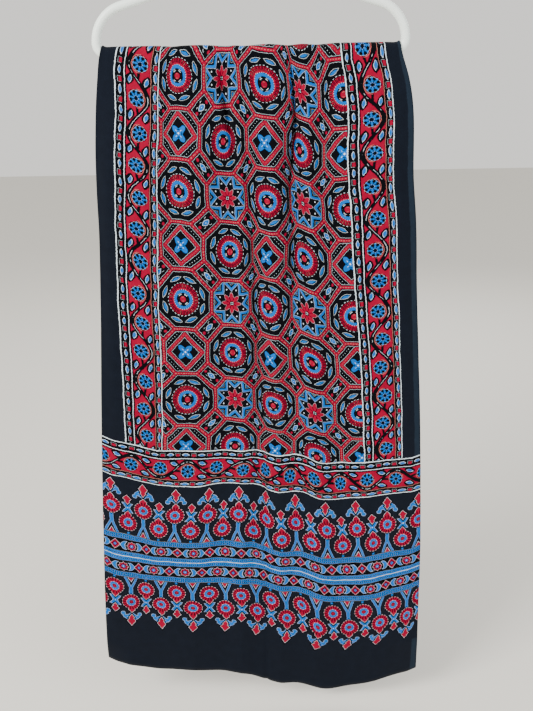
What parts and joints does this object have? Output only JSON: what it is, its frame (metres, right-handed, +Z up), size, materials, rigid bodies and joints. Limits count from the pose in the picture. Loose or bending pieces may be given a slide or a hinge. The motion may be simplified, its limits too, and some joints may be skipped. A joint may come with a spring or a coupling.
{
  "type": "ajrakh cloth on a plastic hanger",
  "caption": "Block-printed cotton stole, folded over the lower bar of a white plastic hanger and hanging in soft lengthwise folds.",
  "frame": {"origin": "the seat at the top inside the hanger's hook, where a rail would carry it", "axes": "+Z up, the stole's front faces -Y, +X runs along the hanger's bar to the viewer's right"},
  "size_m": [0.547, 0.052, 1.2722],
  "materials": {
    "cloth": "matte printed cotton",
    "hanger": "smooth moulded"
  },
  "bodies": {
    "root": {"cloth": "cloth", "hanger": "hanger", "hook": "hanger"}
  },
  "joints": []
}
